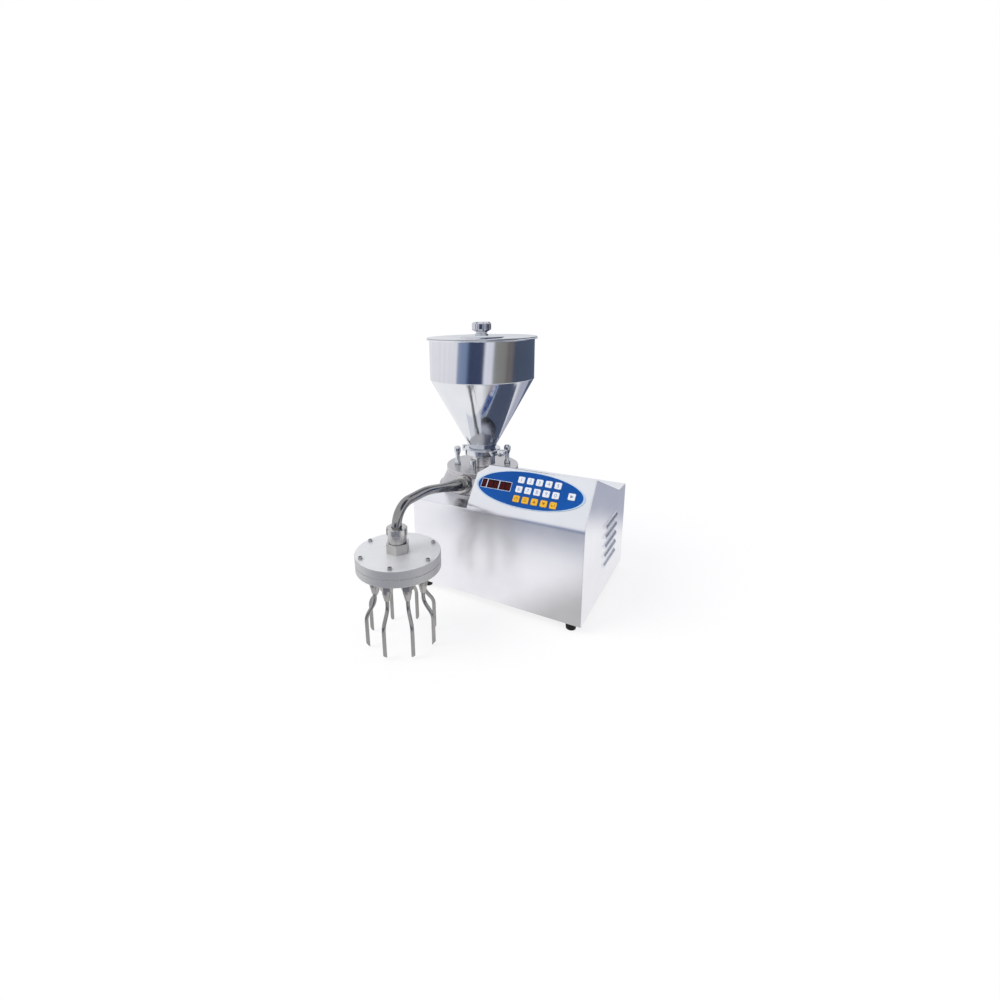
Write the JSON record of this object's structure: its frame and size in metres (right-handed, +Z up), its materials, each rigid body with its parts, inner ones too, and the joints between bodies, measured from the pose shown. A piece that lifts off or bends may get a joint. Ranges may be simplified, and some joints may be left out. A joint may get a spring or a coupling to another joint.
{
  "type": "filling machine",
  "caption": "Bench-top filling machine: lidded hopper clamped on a rotor pump, sheet-steel housing with a keypad console, and an outlet pipe to a round head of bent nozzles.",
  "frame": {"origin": "middle of the bounding box's bottom, on the bench", "axes": "+X along the housing towards its louvred end, +Y towards the rear wall with the power inlet, -Y towards the keypad side and the filling head, +Z up"},
  "size_m": [0.457, 0.6193, 0.6363],
  "materials": {
    "steel_housing": "polished stainless sheet",
    "plated_steel": "zinc-plated sheet",
    "foot_rubber": "matt black moulded rubber",
    "fascia_print": "blue printed plate with a pale border",
    "display_red": "dark red lens",
    "key_white": "white caps with small grey figures",
    "key_orange": "orange caps",
    "circuit_board": "green circuit boards with components",
    "inlet_plastic": "black moulded plastic",
    "drive_paint": "grey machine paint",
    "cast_case": "machined cast iron",
    "gear_steel": "turned steel",
    "bush_bronze": "turned bronze",
    "seal_rubber": "black rubber",
    "pump_steel": "turned and polished stainless steel",
    "polished_steel": "mirror-polished stainless steel",
    "pipe_steel": "polished stainless tube and fittings",
    "head_plate": "fine matt machined plates"
  },
  "bodies": {
    "machine": {"main_housing": "steel_housing", "end_cover": "steel_housing", "base_plate": "plated_steel", "gearbox_bracket": "plated_steel", "power_supply": "plated_steel", "rubber_feet": "foot_rubber", "keypad_fascia": "fascia_print", "display_window": "display_red", "keypad_board": "circuit_board", "control_board": "circuit_board", "inlet_module": "inlet_plastic", "drive_motor": "drive_paint", "worm_gearbox": "drive_paint", "gear_case": "cast_case", "clamp_pins": "gear_steel", "cover_studs": "gear_steel", "shaft_bushes": "bush_bronze", "shaft_seals": "seal_rubber", "cover_seal": "seal_rubber", "clamp_gasket": "seal_rubber", "pump_casing": "pump_steel", "pump_cover": "pump_steel", "hopper": "polished_steel", "clamp_ring": "polished_steel", "outlet_pipe": "pipe_steel"},
    "drive_line": {"drive_rotor": "pump_steel", "drive_gear_shaft": "gear_steel"},
    "idler_line": {"idler_rotor": "pump_steel", "idler_gear_shaft": "gear_steel"},
    "left_knob": {"hand_knob_left": "polished_steel"},
    "right_knob": {"hand_knob_right": "polished_steel"},
    "clamp_nut": {"wing_nut": "polished_steel"},
    "lid": {"hopper_lid": "polished_steel", "lid_knob": "polished_steel"},
    "outlet_nut": {"outlet_union_nut": "pipe_steel"},
    "head_nut": {"head_union_nut": "pipe_steel"},
    "filling_head": {"head_adapter": "pipe_steel", "head_top_plate": "head_plate", "head_bottom_plate": "head_plate", "head_screws": "gear_steel", "nozzle_fittings": "pipe_steel", "nozzle_tubes": "pipe_steel"},
    "switch": {"switch_rocker": "inlet_plastic"},
    "key_1_cap": {"key_1": "key_white"},
    "key_2_cap": {"key_2": "key_white"},
    "key_3_cap": {"key_3": "key_white"},
    "key_4_cap": {"key_4": "key_white"},
    "key_5_cap": {"key_5": "key_white"},
    "key_6_cap": {"key_6": "key_white"},
    "key_7_cap": {"key_7": "key_white"},
    "key_8_cap": {"key_8": "key_white"},
    "key_9_cap": {"key_9": "key_white"},
    "key_0_cap": {"key_0": "key_white"},
    "key_time_cap": {"key_time": "key_orange"},
    "key_count_cap": {"key_count": "key_orange"},
    "key_up_cap": {"key_up": "key_orange"},
    "key_down_cap": {"key_down": "key_orange"},
    "key_enter_cap": {"key_enter": "key_orange"},
    "key_start_cap": {"key_start": "key_white"}
  },
  "joints": [
    {"name": "drive_spin", "type": "hinge", "parent": "machine", "child": "drive_line", "pos_m": [-0.1195, 0.135, 0.252], "axis": [0, 0, 1], "continuous": true},
    {"name": "idler_spin", "type": "hinge", "parent": "machine", "child": "idler_line", "pos_m": [-0.0715, 0.135, 0.252], "axis": [0, 0, 1], "continuous": true},
    {"name": "left_knob_turn", "type": "hinge", "parent": "machine", "child": "left_knob", "pos_m": [-0.14834, 0.10069, 0.306], "axis": [0, 0, 1], "continuous": true},
    {"name": "right_knob_turn", "type": "hinge", "parent": "machine", "child": "right_knob", "pos_m": [-0.04266, 0.16931, 0.306], "axis": [0, 0, 1], "continuous": true},
    {"name": "clamp_nut_turn", "type": "hinge", "parent": "machine", "child": "clamp_nut", "pos_m": [-0.0375, 0.122, 0.321], "axis": [0, -1, 0], "continuous": true},
    {"name": "lid_lift", "type": "slide", "parent": "machine", "child": "lid", "axis": [0, 0, 1], "range_m": [0, 0.15]},
    {"name": "outlet_nut_turn", "type": "hinge", "parent": "machine", "child": "outlet_nut", "pos_m": [-0.0955, 0.029, 0.2615], "axis": [0, -0.9763, 0.2164], "continuous": true},
    {"name": "head_nut_turn", "type": "hinge", "parent": "machine", "child": "head_nut", "pos_m": [-0.0955, -0.22363, 0.23499], "axis": [0, 0, 1], "continuous": true},
    {"name": "head_swivel", "type": "hinge", "parent": "machine", "child": "filling_head", "pos_m": [-0.0955, -0.22363, 0.23499], "axis": [0, 0, 1], "continuous": true},
    {"name": "switch_rock", "type": "hinge", "parent": "machine", "child": "switch", "pos_m": [0.1415, 0.305, 0.094], "axis": [1, 0, 0], "range_deg": [0, 20]},
    {"name": "key_1_press", "type": "slide", "parent": "machine", "child": "key_1_cap", "axis": [0, 0.768, -0.6405], "range_m": [0, 0.001], "stiffness_N_per_m": 600},
    {"name": "key_2_press", "type": "slide", "parent": "machine", "child": "key_2_cap", "axis": [0, 0.768, -0.6405], "range_m": [0, 0.001], "stiffness_N_per_m": 600},
    {"name": "key_3_press", "type": "slide", "parent": "machine", "child": "key_3_cap", "axis": [0, 0.768, -0.6405], "range_m": [0, 0.001], "stiffness_N_per_m": 600},
    {"name": "key_4_press", "type": "slide", "parent": "machine", "child": "key_4_cap", "axis": [0, 0.768, -0.6405], "range_m": [0, 0.001], "stiffness_N_per_m": 600},
    {"name": "key_5_press", "type": "slide", "parent": "machine", "child": "key_5_cap", "axis": [0, 0.768, -0.6405], "range_m": [0, 0.001], "stiffness_N_per_m": 600},
    {"name": "key_6_press", "type": "slide", "parent": "machine", "child": "key_6_cap", "axis": [0, 0.768, -0.6405], "range_m": [0, 0.001], "stiffness_N_per_m": 600},
    {"name": "key_7_press", "type": "slide", "parent": "machine", "child": "key_7_cap", "axis": [0, 0.768, -0.6405], "range_m": [0, 0.001], "stiffness_N_per_m": 600},
    {"name": "key_8_press", "type": "slide", "parent": "machine", "child": "key_8_cap", "axis": [0, 0.768, -0.6405], "range_m": [0, 0.001], "stiffness_N_per_m": 600},
    {"name": "key_9_press", "type": "slide", "parent": "machine", "child": "key_9_cap", "axis": [0, 0.768, -0.6405], "range_m": [0, 0.001], "stiffness_N_per_m": 600},
    {"name": "key_0_press", "type": "slide", "parent": "machine", "child": "key_0_cap", "axis": [0, 0.768, -0.6405], "range_m": [0, 0.001], "stiffness_N_per_m": 600},
    {"name": "key_time_press", "type": "slide", "parent": "machine", "child": "key_time_cap", "axis": [0, 0.768, -0.6405], "range_m": [0, 0.001], "stiffness_N_per_m": 600},
    {"name": "key_count_press", "type": "slide", "parent": "machine", "child": "key_count_cap", "axis": [0, 0.768, -0.6405], "range_m": [0, 0.001], "stiffness_N_per_m": 600},
    {"name": "key_up_press", "type": "slide", "parent": "machine", "child": "key_up_cap", "axis": [0, 0.768, -0.6405], "range_m": [0, 0.001], "stiffness_N_per_m": 600},
    {"name": "key_down_press", "type": "slide", "parent": "machine", "child": "key_down_cap", "axis": [0, 0.768, -0.6405], "range_m": [0, 0.001], "stiffness_N_per_m": 600},
    {"name": "key_enter_press", "type": "slide", "parent": "machine", "child": "key_enter_cap", "axis": [0, 0.768, -0.6405], "range_m": [0, 0.001], "stiffness_N_per_m": 600},
    {"name": "key_start_press", "type": "slide", "parent": "machine", "child": "key_start_cap", "axis": [0, 0.768, -0.6405], "range_m": [0, 0.001], "stiffness_N_per_m": 600}
  ],
  "couplings": [
    {"joint": "idler_spin", "follows": "drive_spin", "ratio": -1}
  ]
}
